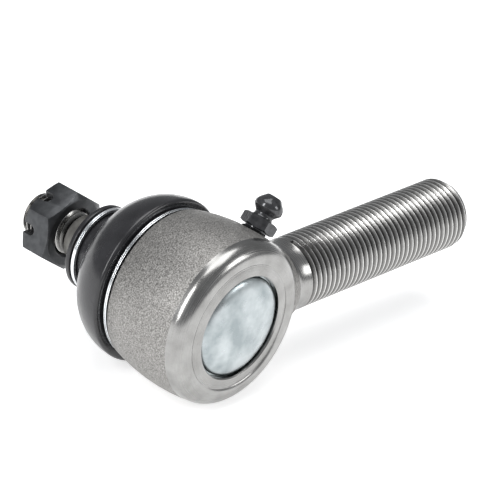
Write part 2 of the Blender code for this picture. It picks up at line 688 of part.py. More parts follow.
def make_nipple_body(parts, cutters, nipple_axis):
    outline = [
        (0, NIPPLE_TIP),
        (NIPPLE_TIP_RADIUS, NIPPLE_TIP),
        (NIPPLE_HEAD_RADIUS, NIPPLE_HEAD_START + 2 * NIPPLE_HEAD_BAND),
        (NIPPLE_HEAD_RADIUS, NIPPLE_HEAD_START + NIPPLE_HEAD_BAND),
        (NIPPLE_WAIST_RADIUS, NIPPLE_HEAD_START),
        (NIPPLE_WAIST_RADIUS, NIPPLE_HEX_TOP + CLEARANCE),
        (NIPPLE_HEX / 2 - 2 * CLEARANCE, NIPPLE_HEX_TOP - CLEARANCE),
        (NIPPLE_WAIST_RADIUS, NIPPLE_HEX_BOTTOM + CLEARANCE),
        (NIPPLE_THREAD_RADIUS, NIPPLE_HEX_BOTTOM - CLEARANCE),
        (NIPPLE_THREAD_RADIUS, NIPPLE_FOOT + EDGE_CHAMFER),
        (NIPPLE_THREAD_RADIUS - EDGE_CHAMFER, NIPPLE_FOOT),
        (0, NIPPLE_FOOT),
    ]
    nipple = turned("grease_nipple_body", outline, parts, nipple_axis, steps=NIPPLE_STEPS)
    cutter = thread_cutter(
        "nipple_thread",
        NIPPLE_THREAD_RADIUS,
        NIPPLE_PITCH,
        NIPPLE_FOOT - NIPPLE_PITCH,
        NIPPLE_HEX_BOTTOM - NIPPLE_PITCH,
        cutters,
        nipple_axis,
        NIPPLE_STEPS,
    )
    combine(nipple, cutter, "DIFFERENCE")
    nipple_hex = hexagon(
        "nipple_hex",
        NIPPLE_HEX,
        NIPPLE_HEX_BOTTOM,
        NIPPLE_HEX_TOP,
        CLEARANCE / 2,
        cutters,
        cutters,
        nipple_axis,
    )
    combine(nipple, hide_cutter(nipple_hex), "UNION")
    lip_radius = NIPPLE_BORE_RADIUS - NIPPLE_FOOT_LIP
    bore = [
        (0, NIPPLE_TIP + CUT_MARGIN),
        (NIPPLE_MOUTH_RADIUS, NIPPLE_TIP + CUT_MARGIN),
        (NIPPLE_MOUTH_RADIUS, CHECK_SEAT + NIPPLE_BORE_RADIUS - NIPPLE_MOUTH_RADIUS),
        (NIPPLE_BORE_RADIUS, CHECK_SEAT),
        (NIPPLE_BORE_RADIUS, NIPPLE_FOOT + NIPPLE_FOOT_LIP),
        (lip_radius, NIPPLE_FOOT + NIPPLE_FOOT_LIP),
        (lip_radius, NIPPLE_FOOT - CUT_MARGIN),
        (0, NIPPLE_FOOT - CUT_MARGIN),
    ]
    nipple_bore = turned("nipple_bore", bore, cutters, nipple_axis, steps=NIPPLE_STEPS)
    combine(nipple, hide_cutter(nipple_bore), "DIFFERENCE")
    finish(nipple, (0.02, 0.02, 0.022), 0.6, 0.3)
    return nipple


def make_check_ball(parts, nipple_axis):
    mesh = bpy.data.meshes.new("nipple_check_ball")
    shape = bmesh.new()
    bmesh.ops.create_uvsphere(
        shape,
        u_segments=CHECK_BALL_STEPS,
        v_segments=CHECK_BALL_STEPS // 2,
        radius=CHECK_BALL_RADIUS,
    )
    shape.to_mesh(mesh)
    shape.free()
    ball = new_piece("nipple_check_ball", mesh, parts, nipple_axis)
    ball.location = (0, 0, CHECK_BALL_CENTRE)
    finish(ball, (0.6, 0.6, 0.62), 1.0, 0.15)
    return ball


def make_nipple_spring(parts, nipple_axis):
    bottom = NIPPLE_FOOT + NIPPLE_FOOT_LIP + CLEARANCE + NIPPLE_WIRE_RADIUS
    top = CHECK_BALL_CENTRE - CHECK_BALL_RADIUS - CLEARANCE - NIPPLE_WIRE_RADIUS
    coil_radius = NIPPLE_BORE_RADIUS - CLEARANCE - NIPPLE_WIRE_RADIUS
    count = NIPPLE_SPRING_TURNS * WIRE_STEPS
    curve = bpy.data.curves.new("nipple_spring", "CURVE")
    curve.dimensions = "3D"
    curve.bevel_depth = NIPPLE_WIRE_RADIUS
    curve.bevel_resolution = 0
    curve.use_fill_caps = True
    spline = curve.splines.new("POLY")
    spline.points.add(count)
    for step, point in enumerate(spline.points):
        angle = 2 * math.pi * step / WIRE_STEPS
        height = bottom + (top - bottom) * step / count
        point.co = (coil_radius * math.cos(angle), coil_radius * math.sin(angle), height, 1)
    wire = bpy.data.objects.new("nipple_spring_wire", curve)
    parts.objects.link(wire)
    spring = new_piece("nipple_spring", mesh_of_curve(wire), parts, nipple_axis)
    finish(spring, (0.55, 0.55, 0.57), 1.0, 0.25)
    return spring


def main():
    clear_scene()
    parts = new_collection("tie_rod_end", hidden=False)
    cutters = new_collection("cutters", hidden=True)
    stud_axis = new_empty("stud_axis", parts, (-math.pi / 2, 0, 0))
    shank_axis = new_empty("shank_axis", parts, (0, math.pi / 2, 0))
    nipple_axis = new_empty("nipple_axis", parts, (0, NIPPLE_TILT, 0), (0, NIPPLE_OFFSET, 0))
    make_housing(parts, cutters, stud_axis, shank_axis, nipple_axis)
    make_closure_plate(parts, stud_axis)
    make_preload_spring(parts, stud_axis)
    make_thrust_washer(parts, stud_axis)
    make_lower_seat(parts, stud_axis)
    make_upper_seat(parts, stud_axis)
    make_ball_stud(parts, cutters, stud_axis)
    make_slotted_nut(parts, cutters, stud_axis)
    make_boot(parts, stud_axis)
    make_ring("boot_ring_large", BEAD_OUTER_RADIUS + CLEARANCE, BEAD_BOTTOM, parts, stud_axis)
    small_ring_inner = BOOT_SMALL_OUTER_RADIUS + CLEARANCE
    make_ring("boot_ring_small", small_ring_inner, SMALL_RING_BOTTOM, parts, stud_axis)
    make_nipple_body(parts, cutters, nipple_axis)
    make_check_ball(parts, nipple_axis)
    make_nipple_spring(parts, nipple_axis)


main()
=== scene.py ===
# %% [markdown]
# # Tie rod end
# A tie rod end joins a car's steering rod to the steering arm at the wheel. A
# forged housing holds a ball, the ball's tapered stud comes out through a rubber
# boot, and a long threaded shank screws into the rod's sleeve.
#
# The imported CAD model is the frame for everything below. It gives the size and
# the place of each piece, and this script gives each piece its real surface.

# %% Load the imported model
import json
import math

import bmesh
import bpy
from mathutils import Matrix, Vector


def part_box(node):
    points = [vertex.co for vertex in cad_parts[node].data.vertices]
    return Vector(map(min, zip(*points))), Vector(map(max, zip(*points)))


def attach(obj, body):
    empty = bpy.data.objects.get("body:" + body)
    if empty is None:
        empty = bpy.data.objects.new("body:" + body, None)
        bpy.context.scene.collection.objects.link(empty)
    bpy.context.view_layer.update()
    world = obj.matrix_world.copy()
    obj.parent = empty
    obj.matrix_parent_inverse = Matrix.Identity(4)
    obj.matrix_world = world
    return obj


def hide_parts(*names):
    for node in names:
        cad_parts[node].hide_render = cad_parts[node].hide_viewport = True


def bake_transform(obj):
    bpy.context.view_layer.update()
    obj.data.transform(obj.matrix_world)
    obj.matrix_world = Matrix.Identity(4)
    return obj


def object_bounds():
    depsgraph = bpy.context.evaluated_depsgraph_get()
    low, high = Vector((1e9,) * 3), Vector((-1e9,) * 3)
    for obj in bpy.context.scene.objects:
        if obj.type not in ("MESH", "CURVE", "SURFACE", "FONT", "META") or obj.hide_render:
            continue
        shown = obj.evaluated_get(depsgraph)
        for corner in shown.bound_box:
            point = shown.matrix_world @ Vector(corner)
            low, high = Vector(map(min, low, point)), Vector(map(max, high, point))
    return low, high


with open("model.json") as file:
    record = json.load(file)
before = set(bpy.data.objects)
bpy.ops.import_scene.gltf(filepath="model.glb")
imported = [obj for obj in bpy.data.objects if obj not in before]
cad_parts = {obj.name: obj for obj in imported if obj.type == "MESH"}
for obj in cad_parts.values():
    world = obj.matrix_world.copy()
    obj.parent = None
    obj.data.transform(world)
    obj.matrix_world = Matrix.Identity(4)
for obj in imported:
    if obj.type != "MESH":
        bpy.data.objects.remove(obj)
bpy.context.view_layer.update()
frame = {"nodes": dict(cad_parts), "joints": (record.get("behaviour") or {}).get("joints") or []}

# %% [markdown]
# ## Sizes
# Most pieces here are round, so a radius and a station along an axis describe
# them. The stations are read from the boxes of the CAD nodes, so that the pieces
# stay in place if the CAD model is ever changed. The stud's axis is +Y, the
# shank's axis is +X, and both start at the middle of the ball.

# %% Sizes from the CAD model
MM = 0.001
GAP = 0.3 * MM
RING_WALL = 0.7 * MM
PLATE_WALL = 1.2 * MM
ROUND = 144
THREAD_ROUND = 72

barrel_radius = -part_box("socket_housing")[0].x
barrel_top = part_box("socket_housing")[1].y
rim_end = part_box("socket_housing")[0].y
shank_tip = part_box("socket_housing")[1].x
bore_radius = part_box("upper_bearing_seat")[1].x + GAP
bore_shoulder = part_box("upper_bearing_seat")[1].y + GAP
plate_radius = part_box("closure_plate")[1].x
plate_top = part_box("closure_plate")[1].y
plate_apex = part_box("closure_plate")[0].y
boot_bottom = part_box("dust_boot")[0].y
boot_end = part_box("dust_boot")[1].y
boot_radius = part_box("dust_boot")[1].x
bead_radius = -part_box("boot_ring_large")[0].x - RING_WALL - GAP
nut_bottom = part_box("slotted_nut")[0].y
nut_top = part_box("slotted_nut")[1].y
stud_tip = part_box("ball_stud")[1].y
print("barrel", round(barrel_radius / MM, 2), "mm in radius, shank tip at", round(shank_tip / MM, 2))

# %% [markdown]
# ## Turning a round piece
# A lathe makes a round piece from an outline, and Spin does the same. The
# outline starts as a small plane merged to one vertex, and each extrusion of that
# vertex draws the next straight length. A cylinder primitive pushed about ring by
# ring would also work, but it needs far more steps for a curved profile.
#
# Every outline below is a list of (radius, station) points, so one helper can
# turn a piece on the stud's axis or on the shank's.

# %% Outline and spin helpers
STUD_AXIS = (Vector((0, 1, 0)), Vector((1, 0, 0)))
SHANK_AXIS = (Vector((1, 0, 0)), Vector((0, 0, 1)))
UPRIGHT = (Vector((0, 0, 1)), Vector((1, 0, 0)))


def select_only(piece):
    bpy.ops.object.select_all(action="DESELECT")
    piece.select_set(True)
    bpy.context.view_layer.objects.active = piece


def arc(centre_radius, centre_station, radius, start, end, count):
    """Points of an arc, with angles in degrees: 0 points away from the axis."""
    turns = [math.radians(start + (end - start) * step / count) for step in range(count + 1)]
    return [(centre_radius + radius * math.cos(a), centre_station + radius * math.sin(a)) for a in turns]


def draw_outline(name, outline, axis, closed):
    """Draws the outline by extruding one vertex, and stays in edit mode with all of it selected."""
    along, across = axis
    points = [across * radius + along * station for radius, station in outline]
    bpy.ops.object.select_all(action="DESELECT")
    bpy.ops.mesh.primitive_plane_add(size=MM, location=points[0])
    piece = bpy.context.object
    piece.name = name
    piece.data.name = name
    bpy.ops.object.transform_apply(location=True, rotation=False, scale=False)
    bpy.ops.object.mode_set(mode="EDIT")
    bpy.ops.mesh.select_mode(type="VERT")
    bpy.ops.mesh.select_all(action="SELECT")
    bpy.ops.mesh.merge(type="CENTER")
    for before, after in zip(points, points[1:]):
        bpy.ops.mesh.extrude_vertices_move(TRANSFORM_OT_translate={"value": after - before})
    if closed:
        mesh = bmesh.from_edit_mesh(piece.data)
        for vertex in mesh.verts:
            vertex.select_set(len(vertex.link_edges) < 2)
        mesh.select_flush_mode()
        bpy.ops.mesh.edge_face_add()
    bpy.ops.mesh.select_all(action="SELECT")
    return piece


def close_and_face_out():
    """Merges the seam and the poles of the mesh in edit mode, and turns its faces outwards."""
    bpy.ops.mesh.select_all(action="SELECT")
    bpy.ops.mesh.remove_doubles(threshold=0.0005 * MM)
    bpy.ops.mesh.normals_make_consistent(inside=False)
    bpy.ops.object.mode_set(mode="OBJECT")


def turned(name, outline, axis=STUD_AXIS, closed=False, steps=ROUND):
    piece = draw_outline(name, outline, axis, closed)
    bpy.ops.mesh.spin(steps=steps, angle=2 * math.pi, center=(0, 0, 0), axis=axis[0])
    close_and_face_out()
    return piece


def wound(name, outline, axis, letter, pitch, turns, steps=THREAD_ROUND):
    """Winds a closed outline along a screw line, as a thread tool or a wire runs."""
    piece = draw_outline(name, outline, axis, True)
    bpy.ops.object.mode_set(mode="OBJECT")
    screw = piece.modifiers.new("screw", "SCREW")
    screw.axis = letter
    screw.steps = steps
    screw.render_steps = steps
    screw.screw_offset = pitch
    screw.iterations = turns
    bpy.ops.object.modifier_apply(modifier=screw.name)
    bpy.ops.object.mode_set(mode="EDIT")
    bpy.ops.mesh.select_all(action="SELECT")
    bpy.ops.mesh.fill_holes(sides=0)
    close_and_face_out()
    return piece


def combine(piece, tool, operation):
    """Joins, cuts or trims the piece with a tool, and clears the tool away."""
    select_only(piece)
    boolean = piece.modifiers.new("boolean", "BOOLEAN")
    boolean.operation = operation
    boolean.solver = "MANIFOLD"
    boolean.object = tool
    bpy.ops.object.modifier_apply(modifier=boolean.name)
    bpy.data.objects.remove(tool)
    return piece


def soften(piece, width, finish, angle=25):
    """Breaks the sharp edges, so that they catch a line of light, and fills them from slot finish."""
    select_only(piece)
    bevel = piece.modifiers.new("bevel", "BEVEL")
    bevel.width = width
    bevel.segments = 2
    bevel.material = finish
    bevel.limit_method = "ANGLE"
    bevel.angle_limit = math.radians(angle)
    bpy.ops.object.modifier_apply(modifier=bevel.name)


def give_finishes(piece, finishes, choose=lambda face: 0):
    """Fills the piece's slots, and gives each face the slot that choose(face) names."""
    piece.data.materials.clear()
    for finish in finishes:
        piece.data.materials.append(finish)
    for face in piece.data.polygons:
        face.material_index = choose(face)


def smooth(piece, angle=30):
    select_only(piece)
    bpy.ops.object.shade_smooth_by_angle(angle=math.radians(angle))


def report(piece):
    mesh = bmesh.new()
    mesh.from_mesh(piece.data)
    loose = sum(not edge.is_manifold for edge in mesh.edges)
    volume = mesh.calc_volume(signed=True) / MM**3
    mesh.free()
    sides = [round(side / MM, 2) for side in piece.dimensions]
    faces = len(piece.data.polygons)
    print(f"{piece.name}: {faces} faces, {sides} mm, {volume:.1f} mm3, {loose} open edges")


print("one turn has", ROUND, "faces")

# %% [markdown]
# ## Materials
# No real metal is one even colour. Each finish here starts from a base colour
# and adds what its making leaves behind: grit from shot blasting, fine rings from
# a lathe, a mottled oxide, or the soft skin of moulded rubber. All patterns read
# Object coordinates, in metres, so a noise scale of 3000 gives grains of about a
# third of a millimetre on every piece alike. A ring or a thread is coloured by
# the distance from its axis instead, which paints a highlight on its crests and
# shade into its roots.

# %% Material helpers
def new_finish(name, colour, metallic, roughness):
    material = bpy.data.materials.new(name)
    material.use_nodes = True
    shader = material.node_tree.nodes["Principled BSDF"]
    shader.inputs["Base Color"].default_value = (*colour, 1)
    shader.inputs["Metallic"].default_value = metallic
    shader.inputs["Roughness"].default_value = roughness
    return material


def add_node(material, kind, **settings):
    node = material.node_tree.nodes.new(kind)
    for setting, value in settings.items():
        setattr(node, setting, value)
    return node


def link(material, output, target):
    material.node_tree.links.new(output, target)


def noise(material, scale, detail=2.0, stretch=(1, 1, 1)):
    """A noise pattern fixed to the piece. It returns the 0 to 1 output."""
    place = add_node(material, "ShaderNodeTexCoord")
    mapping = add_node(material, "ShaderNodeMapping")
    texture = add_node(material, "ShaderNodeTexNoise")
    mapping.inputs["Scale"].default_value = stretch
    texture.inputs["Scale"].default_value = scale
    texture.inputs["Detail"].default_value = detail
    link(material, place.outputs["Object"], mapping.inputs["Vector"])
    link(material, mapping.outputs["Vector"], texture.inputs["Vector"])
    return texture.outputs["Fac"]


def spread(material, value, low, high, start=0.3, end=0.7):
    """Stretches a pattern to run from low to high."""
    node = add_node(material, "ShaderNodeMapRange")
    for socket, number in (("From Min", start), ("From Max", end), ("To Min", low), ("To Max", high)):
        node.inputs[socket].default_value = number
    link(material, value, node.inputs["Value"])
    return node.outputs["Result"]


def tint(material, value, dark, light, start=0.3, end=0.7):
    """Colours the piece from dark to light by a pattern."""
    ramp = add_node(material, "ShaderNodeValToRGB")
    ramp.color_ramp.elements[0].position = start
    ramp.color_ramp.elements[1].position = end
    ramp.color_ramp.elements[0].color = (*dark, 1)
    ramp.color_ramp.elements[1].color = (*light, 1)
    link(material, value, ramp.inputs["Fac"])
    shader = material.node_tree.nodes["Principled BSDF"]
    link(material, ramp.outputs["Color"], shader.inputs["Base Color"])


def tint_steps(material, value, steps):
    """Colours the piece by a pattern through several (position, colour) steps."""
    tint(material, value, steps[0][1], steps[-1][1], steps[0][0], steps[-1][0])
    ramp = next(node for node in material.node_tree.nodes if node.type == "VALTORGB").color_ramp
    for position, colour in steps[1:-1]:
        ramp.elements.new(position).color = (*colour, 1)


def dull(material, value, low, high):
    """Varies the roughness by a pattern."""
    shader = material.node_tree.nodes["Principled BSDF"]
    link(material, spread(material, value, low, high), shader.inputs["Roughness"])


def relief(material, value, height, strength=1.0):
    """Adds a bump of this height by a pattern. A second call lies on top of the first."""
    shader = material.node_tree.nodes["Principled BSDF"]
    bump = add_node(material, "ShaderNodeBump")
    bump.inputs["Distance"].default_value = height
    bump.inputs["Strength"].default_value = strength
    link(material, value, bump.inputs["Height"])
    if shader.inputs["Normal"].links:
        link(material, shader.inputs["Normal"].links[0].from_socket, bump.inputs["Normal"])
    link(material, bump.outputs["Normal"], shader.inputs["Normal"])


def distance_from_axis(material, across):
    """The distance from an axis, in metres, with the axis given by the two directions across it."""
    place = add_node(material, "ShaderNodeTexCoord")
    flatten = add_node(material, "ShaderNodeVectorMath", operation="MULTIPLY")
    distance = add_node(material, "ShaderNodeVectorMath", operation="LENGTH")
    flatten.inputs[1].default_value = across
    link(material, place.outputs["Object"], flatten.inputs[0])
    link(material, flatten.outputs["Vector"], distance.inputs[0])
    return distance.outputs["Value"]


def lathe_rings(material, across, scale):
    """Fine rings, as a lathe tool leaves them: a noise read by the distance from the axis."""
    texture = add_node(material, "ShaderNodeTexNoise", noise_dimensions="1D")
    texture.inputs["Scale"].default_value = scale
    link(material, distance_from_axis(material, across), texture.inputs["W"])
    return texture.outputs["Fac"]


print("material helpers ready")

# %% [markdown]
# ### Housing finishes
# The forging is cleaned with steel shot, which leaves a sandy grey skin. It is a
# rough metal whose grains tip the light at random, so two noises raise it and the
# finer one also mottles its colour. The rim is faced on a lathe: smoother, with
# rings about the stud's axis. The shank's thread is rolled, which burnishes its
# crests. Its colour runs from dark to bright with the distance from the shank's
# axis: painted shade darkens its roots and a painted highlight brightens its crests.

# %% Housing finishes
forged = new_finish("shot_blasted_forging", (0.22, 0.215, 0.205), 0.75, 0.5)
grit = noise(forged, 3600, 4.0)
tint(forged, grit, (0.13, 0.126, 0.12), (0.46, 0.45, 0.434), 0.36, 0.7)
dull(forged, noise(forged, 900, 2.0), 0.4, 0.6)
relief(forged, noise(forged, 380, 2.0), 0.09 * MM, 0.5)
relief(forged, grit, 0.07 * MM, 0.8)

faced = new_finish("lathe_faced_steel", (0.30, 0.297, 0.29), 1.0, 0.26)
tint(faced, noise(faced, 260, 4.0), (0.26, 0.257, 0.25), (0.345, 0.342, 0.335))
dull(faced, lathe_rings(faced, (1, 0, 1), 5200), 0.18, 0.3)
relief(faced, lathe_rings(faced, (1, 0, 1), 3600), 0.008 * MM, 0.5)

# Painted shade and highlight: the thread's roots are painted dark and its crests bright, by the distance
# from the shank's axis.
rolled = new_finish("rolled_thread_painted_shade_and_highlight", (0.3, 0.297, 0.29), 1.0, 0.24)
tint_steps(
    rolled,
    spread(rolled, distance_from_axis(rolled, (0, 1, 1)), 0, 1, 7.05 * MM, 8.02 * MM),
    (
        (0.0, (0.05, 0.049, 0.048)),
        (0.45, (0.15, 0.148, 0.144)),
        (0.86, (0.3, 0.297, 0.29)),
        (0.95, (0.8, 0.795, 0.78)),
    ),
)
dull(rolled, noise(rolled, 1500, 2.0), 0.26, 0.38)
relief(rolled, noise(rolled, 4200, 2.0), 0.004 * MM, 0.3)
print("housing finishes:", forged.name, faced.name, rolled.name)

# %% [markdown]
# ### Plated, oxidised and moulded finishes
# Zinc gives the closure plate and the rings a cool, bright, slightly cloudy
# surface. The stud is ground on its taper and rolled on its thread, whose roots
# take painted shade and whose crests take a painted highlight. Black oxide keeps
# the nut's metal shine but makes it nearly black. Its edges are painted lighter:
# partly wear through to bright steel, partly a painted highlight. The boot is
# chloroprene rubber, which is not a metal at all: dark, with a broad dull shine.

# %% Other finishes
zinc = new_finish("zinc_plating", (0.44, 0.485, 0.5), 1.0, 0.3)
tint(zinc, noise(zinc, 190, 5.0), (0.27, 0.305, 0.315), (0.46, 0.495, 0.505), 0.36, 0.64)
dull(zinc, noise(zinc, 420, 3.0), 0.24, 0.4)
relief(zinc, noise(zinc, 200, 3.0), 0.09 * MM, 0.5)

wire_zinc = new_finish("zinc_plated_wire", (0.86, 0.885, 0.9), 1.0, 0.2)
tint(wire_zinc, noise(wire_zinc, 300, 3.0), (0.74, 0.77, 0.79), (0.92, 0.935, 0.95))
dull(wire_zinc, noise(wire_zinc, 900, 2.0), 0.14, 0.28)

ground = new_finish("ground_stud_steel", (0.16, 0.155, 0.145), 0.85, 0.42)
tint(ground, noise(ground, 500, 3.0), (0.12, 0.116, 0.108), (0.2, 0.195, 0.183))
dull(ground, noise(ground, 1200, 2.0, (0.15, 1, 0.15)), 0.38, 0.52)
relief(ground, noise(ground, 2600, 2.0, (0.1, 1, 0.1)), 0.03 * MM, 0.6)

# Painted shade and highlight: the stud thread's roots are painted dark and its crests bright, by the
# distance from the stud's axis.
threaded = new_finish("stud_thread_painted_shade_and_highlight", (0.3, 0.297, 0.29), 1.0, 0.26)
tint_steps(
    threaded,
    spread(threaded, distance_from_axis(threaded, (1, 0, 1)), 0, 1, 4.2 * MM, 5.02 * MM),
    (
        (0.0, (0.05, 0.049, 0.047)),
        (0.5, (0.2, 0.197, 0.19)),
        (0.86, (0.4, 0.395, 0.382)),
        (0.95, (0.8, 0.79, 0.77)),
    ),
)
dull(threaded, noise(threaded, 1500, 2.0), 0.2, 0.32)
relief(threaded, noise(threaded, 4200, 2.0), 0.004 * MM, 0.3)

oxide = new_finish("black_oxide", (0.06, 0.062, 0.065), 0.8, 0.38)
tint(oxide, noise(oxide, 500, 3.0), (0.045, 0.047, 0.05), (0.075, 0.078, 0.082))
dull(oxide, noise(oxide, 1500, 3.0), 0.32, 0.44)
relief(oxide, noise(oxide, 2600, 3.0), 0.016 * MM, 0.35)

# The nut's edge finish is lighter: partly wear through the oxide, partly a painted highlight along the
# edges.
worn_and_highlit_edge = new_finish("worn_edge_and_painted_highlight", (0.3, 0.3, 0.3), 0.95, 0.34)
tint(worn_and_highlit_edge, noise(worn_and_highlit_edge, 1100, 3.0), (0.12, 0.122, 0.126), (0.4, 0.4, 0.4), 0.35, 0.65)
dull(worn_and_highlit_edge, noise(worn_and_highlit_edge, 1500, 3.0), 0.28, 0.42)

gloss_black = new_finish("glossy_black_nipple", (0.05, 0.051, 0.054), 0.6, 0.18)
tint(gloss_black, noise(gloss_black, 900, 3.0), (0.04, 0.041, 0.043), (0.085, 0.086, 0.09))
dull(gloss_black, noise(gloss_black, 1600, 3.0), 0.1, 0.26)
relief(gloss_black, noise(gloss_black, 1300, 2.0), 0.04 * MM, 0.5)

rubber = new_finish("moulded_boot_rubber", (0.02, 0.02, 0.022), 0.0, 0.34)
tint(rubber, noise(rubber, 220, 4.0), (0.014, 0.014, 0.0155), (0.023, 0.023, 0.0255))
dull(rubber, noise(rubber, 520, 3.0), 0.16, 0.28)
relief(rubber, noise(rubber, 700, 3.0), 0.04 * MM, 0.35)
print("finishes so far:", len(bpy.data.materials))

# %% [markdown]
# ## The housing's barrel
# The barrel is forged, bored from the closure side and faced on its rim. Its
# outline runs up the bore, over the spigot that carries the boot, down the curved
# side and round the rim. The rim has a raised round shoulder and, inside it, a
# flatter lip that is rolled over the closure plate. A fine step shows where the
# lathe stopped and the rough forging begins.

# %% Turn the barrel
BEAD_WALL = 1.3 * MM
GROOVE_DEPTH = 0.6 * MM
GROOVE_WIDTH = 1.9 * MM
MOUTH_WALL = 3.5 * MM
TILT_LIMIT = math.radians(20)
LIP_OVERLAP = 3.0 * MM
RIM_ROUNDING = 3.45 * MM
RIM_INSET = 0.45 * MM
# The valley between the lip and the rim's shoulder, in mm out from the lip's edge and deep
RIM_VALLEY = ((1.85, 0.1), (2.25, 0.32), (2.55, 0.36), (2.8, 0.2))
FACED_LENGTH = 3.9 * MM
BARREL_CROWN = -1.0 * MM
BARREL_SWELL = 45 * MM
SHOULDER_ROUNDING = 0.6 * MM
EDGE = 0.25 * MM
spigot_radius = bead_radius - BEAD_WALL
barrel_shoulder = boot_bottom - GAP
groove_radius = spigot_radius - GROOVE_DEPTH
groove_end = barrel_shoulder + GROOVE_WIDTH
mouth_radius = spigot_radius - MOUTH_WALL
mouth_inner = mouth_radius - (barrel_top - bore_shoulder) * math.tan(TILT_LIMIT)
lip_radius = plate_radius - LIP_OVERLAP
lip_inside = plate_top - PLATE_WALL - GAP
step_radius = plate_radius + GAP
faced_end = rim_end + FACED_LENGTH
rim_radius = barrel_radius - RIM_INSET
HOUSING_FINISHES = (forged, faced, rolled)
FORGED, FACED, ROLLED = range(3)


def barrel_side(start, end, count):
    """The side is one long arc, widest at its crown."""
    stations = [start + (end - start) * step / count for step in range(count + 1)]
    return [(barrel_radius - (y - BARREL_CROWN) ** 2 / (2 * BARREL_SWELL), y) for y in stations]


def barrel_finish(face):
    """The side between the lathe's step and the boot's shoulder is left as forged."""
    rough_side = faced_end - EDGE / 5 < face.center.y < barrel_shoulder - GAP
    outside = math.hypot(face.center.x, face.center.z) > spigot_radius + GAP
    return FORGED if rough_side and outside else FACED


shoulder_start = barrel_shoulder - SHOULDER_ROUNDING
shoulder_radius = barrel_side(shoulder_start, 0, 1)[0][0]
shoulder_centre = shoulder_radius - SHOULDER_ROUNDING
barrel_outline = [
    (mouth_inner, bore_shoulder),
    (bore_radius, bore_shoulder),
    (bore_radius, plate_top + GAP),
    (step_radius, plate_top + GAP),
    (step_radius, lip_inside),
    (lip_radius, lip_inside),
    (lip_radius, rim_end + EDGE),
    (lip_radius + EDGE, rim_end),
    *((lip_radius + out * MM, rim_end + deep * MM) for out, deep in RIM_VALLEY),
    *arc(rim_radius - RIM_ROUNDING, rim_end + RIM_ROUNDING + 0.02 * MM, RIM_ROUNDING, -97, -4, 18),
    (rim_radius + 0.02 * MM, faced_end - 0.3 * MM),
    *barrel_side(faced_end, shoulder_start, 24),
    *arc(shoulder_centre, shoulder_start, SHOULDER_ROUNDING, 15, 90, 5),
    (groove_radius, barrel_shoulder),
    (groove_radius, groove_end),
    (spigot_radius, groove_end),
    (spigot_radius, barrel_top - 0.3 * MM),
    (spigot_radius - 0.3 * MM, barrel_top),
    (mouth_radius, barrel_top),
]
housing = turned("forged_housing", barrel_outline, closed=True)
give_finishes(housing, HOUSING_FINISHES, barrel_finish)
report(housing)

# %% [markdown]
# ## The shank
# A thread is rolled on the shank. Its shape is a plain bar with a screw-shaped
# groove, so the groove is wound as a solid and cut away. The tool's outline is
# rounded at the root and flares near the crest, which rounds the crest's edges
# and gives each turn its thin line of light. A Screw modifier on the bar's own
# outline would be quicker, but its ends would not close.

# %% Wind and cut the shank's thread
SHANK_RADIUS = 8.0 * MM
SHANK_PITCH = 1.5 * MM
SHANK_TIP_LENGTH = 1.95 * MM
NECK_LENGTH = 6.8 * MM
NECK_RELIEF = 0.15 * MM
NECK_FILLET = 2.5 * MM
ROOT_FLARE = 1.9 * MM
THREAD_DEPTH = 0.6134
# One side of the groove: height above the crest over the thread's depth, half width over its pitch
THREAD_GROOVE = ((-1, 0.045), (-0.92, 0.09), (-0.12, 0.40), (-0.03, 0.445), (0.03, 0.48), (0.2, 0.49))
thread_start = barrel_radius + NECK_LENGTH


def thread_tool(name, radius, pitch, start, end, axis, letter, steps=THREAD_ROUND):
    """The solid that is cut away between the thread's ridges."""
    depth = THREAD_DEPTH * pitch
    lower = [(radius + height * depth, start - width * pitch) for height, width in THREAD_GROOVE]
    upper = [(radius + height * depth, start + width * pitch) for height, width in THREAD_GROOVE]
    turns = math.ceil((end - start) / pitch) + 1
    return wound(name, lower[::-1] + upper, axis, letter, pitch, turns, steps)


def shank_finish(face):
    """The shank is turned from just outside the barrel to its tip."""
    return FACED if face.center.x > barrel_radius + 1.6 * MM else FORGED


shank_outline = [
    (0, shank_tip),
    (SHANK_RADIUS - 1.25 * MM, shank_tip),
    (SHANK_RADIUS - 1.05 * MM, shank_tip - 0.12 * MM),
    (SHANK_RADIUS, shank_tip - SHANK_TIP_LENGTH),
    (SHANK_RADIUS, thread_start - 0.6 * MM),
    (SHANK_RADIUS - NECK_RELIEF, thread_start - 1.0 * MM),
    *arc(SHANK_RADIUS - NECK_RELIEF + NECK_FILLET, barrel_radius + 3.4 * MM, NECK_FILLET, 180, 232, 9),
    (SHANK_RADIUS + ROOT_FLARE, barrel_radius - 1.2 * MM),
    (SHANK_RADIUS + ROOT_FLARE, bore_radius + 1.2 * MM),
    (0, bore_radius + 1.2 * MM),
]
shank = turned("shank_bar", shank_outline, SHANK_AXIS, steps=THREAD_ROUND)
give_finishes(shank, HOUSING_FINISHES, shank_finish)
tool = thread_tool(
    "shank_thread_tool", SHANK_RADIUS, SHANK_PITCH, thread_start, shank_tip, SHANK_AXIS, "X"
)
give_finishes(tool, HOUSING_FINISHES, lambda face: ROLLED)
combine(shank, tool, "DIFFERENCE")
report(shank)

# %% Join the shank to the barrel
combine(housing, shank, "UNION")
report(housing)

# %% [markdown]
# The grease nipple screws into a drilled hole in the side of the barrel. Its
# direction is the one that the CAD model's check ball slides along, so it is
# read from that joint.

# %% Drill the nipple's hole
nipple_way = -Vector(next(j["axis"] for j in frame["joints"] if j["name"] == "check_ball_slide"))
check_low, check_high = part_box("nipple_check_ball")
check_centre = (check_low + check_high) / 2
check_station = check_centre.dot(nipple_way)
nipple_foot_point = check_centre - nipple_way * check_station
NIPPLE_THREAD_RADIUS = 3.0 * MM


def stand_on_nipple_axis(piece):
    """Turns a piece made along +Z to the nipple's direction, with its place kept in its mesh."""
    select_only(piece)
    turn = nipple_way.to_track_quat("Z", "Y").to_matrix().to_4x4()
    piece.matrix_world = Matrix.Translation(nipple_foot_point) @ turn
    bpy.ops.object.transform_apply(location=True, rotation=True, scale=True)
    return piece


